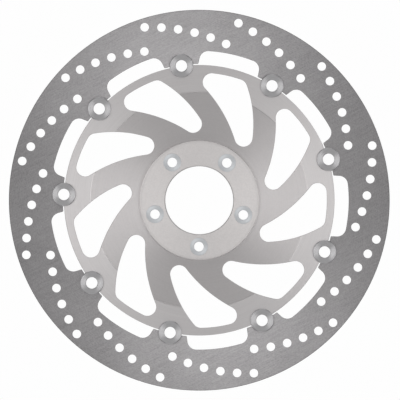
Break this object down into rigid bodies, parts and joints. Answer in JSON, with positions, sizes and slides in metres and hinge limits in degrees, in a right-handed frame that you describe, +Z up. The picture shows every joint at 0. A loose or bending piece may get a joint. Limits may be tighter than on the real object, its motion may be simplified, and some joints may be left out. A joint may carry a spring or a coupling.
{
  "type": "brake disc rotor",
  "caption": "Floating motorcycle brake disc: a drilled steel friction ring on hollow sprung bobbins round an aluminium carrier with swept windows and a raised bolt-on hub.",
  "frame": {"origin": "centre of the bolt circle on the hub's back face, the face that bolts to the wheel", "axes": "+Y along the disc's axis towards the wheel, so the front face looks along -Y; +Z up, with one bolt hole straight below the axis; +X to the right as seen from the front"},
  "size_m": [0.32, 0.0106, 0.32],
  "materials": {
    "ring_steel": "ground stainless steel, crossed grinding lines",
    "carrier_alloy": "turned aluminium, satin",
    "bobbin_steel": "turned steel, semi-bright",
    "bush_steel": "zinc-plated steel, blue passivated",
    "spring_steel": "rolled spring steel",
    "washer_steel": "stamped stainless steel",
    "circlip_steel": "phosphated spring steel, dark"
  },
  "bodies": {
    "carrier": {"carrier": "carrier_alloy", "bolt_bush_1": "bush_steel", "bolt_bush_2": "bush_steel", "bolt_bush_3": "bush_steel", "bolt_bush_4": "bush_steel", "bolt_bush_5": "bush_steel"},
    "ring": {"friction_ring": "ring_steel"},
    "bobbin_1": {"bobbin_1": "bobbin_steel", "wave_washer_1": "spring_steel", "flat_washer_1": "washer_steel", "circlip_1": "circlip_steel"},
    "bobbin_2": {"bobbin_2": "bobbin_steel", "wave_washer_2": "spring_steel", "flat_washer_2": "washer_steel", "circlip_2": "circlip_steel"},
    "bobbin_3": {"bobbin_3": "bobbin_steel", "wave_washer_3": "spring_steel", "flat_washer_3": "washer_steel", "circlip_3": "circlip_steel"},
    "bobbin_4": {"bobbin_4": "bobbin_steel", "wave_washer_4": "spring_steel", "flat_washer_4": "washer_steel", "circlip_4": "circlip_steel"},
    "bobbin_5": {"bobbin_5": "bobbin_steel", "wave_washer_5": "spring_steel", "flat_washer_5": "washer_steel", "circlip_5": "circlip_steel"},
    "bobbin_6": {"bobbin_6": "bobbin_steel", "wave_washer_6": "spring_steel", "flat_washer_6": "washer_steel", "circlip_6": "circlip_steel"},
    "bobbin_7": {"bobbin_7": "bobbin_steel", "wave_washer_7": "spring_steel", "flat_washer_7": "washer_steel", "circlip_7": "circlip_steel"},
    "bobbin_8": {"bobbin_8": "bobbin_steel", "wave_washer_8": "spring_steel", "flat_washer_8": "washer_steel", "circlip_8": "circlip_steel"},
    "bobbin_9": {"bobbin_9": "bobbin_steel", "wave_washer_9": "spring_steel", "flat_washer_9": "washer_steel", "circlip_9": "circlip_steel"}
  },
  "joints": [
    {"name": "ring_float", "type": "slide", "parent": "carrier", "child": "ring", "axis": [0, 1, 0], "range_m": [0, 0.0004], "stiffness_N_per_m": 40000, "springref_m": -0.0005, "deforming": ["wave_washer_1", "wave_washer_2", "wave_washer_3", "wave_washer_4", "wave_washer_5", "wave_washer_6", "wave_washer_7", "wave_washer_8", "wave_washer_9"]},
    {"name": "bobbin_1_turn", "type": "hinge", "parent": "carrier", "child": "bobbin_1", "pos_m": [-0.01585, 0, 0.11279], "axis": [0, 1, 0], "continuous": true},
    {"name": "bobbin_2_turn", "type": "hinge", "parent": "carrier", "child": "bobbin_2", "pos_m": [-0.08464, 0, 0.07621], "axis": [0, 1, 0], "continuous": true},
    {"name": "bobbin_3_turn", "type": "hinge", "parent": "carrier", "child": "bobbin_3", "pos_m": [-0.11383, 0, 0.00398], "axis": [0, 1, 0], "continuous": true},
    {"name": "bobbin_4_turn", "type": "hinge", "parent": "carrier", "child": "bobbin_4", "pos_m": [-0.08975, 0, -0.07012], "axis": [0, 1, 0], "continuous": true},
    {"name": "bobbin_5_turn", "type": "hinge", "parent": "carrier", "child": "bobbin_5", "pos_m": [-0.02368, 0, -0.11141], "axis": [0, 1, 0], "continuous": true},
    {"name": "bobbin_6_turn", "type": "hinge", "parent": "carrier", "child": "bobbin_6", "pos_m": [0.05347, 0, -0.10057], "axis": [0, 1, 0], "continuous": true},
    {"name": "bobbin_7_turn", "type": "hinge", "parent": "carrier", "child": "bobbin_7", "pos_m": [0.10561, 0, -0.04267], "axis": [0, 1, 0], "continuous": true},
    {"name": "bobbin_8_turn", "type": "hinge", "parent": "carrier", "child": "bobbin_8", "pos_m": [0.10833, 0, 0.0352], "axis": [0, 1, 0], "continuous": true},
    {"name": "bobbin_9_turn", "type": "hinge", "parent": "carrier", "child": "bobbin_9", "pos_m": [0.06036, 0, 0.09659], "axis": [0, 1, 0], "continuous": true}
  ]
}
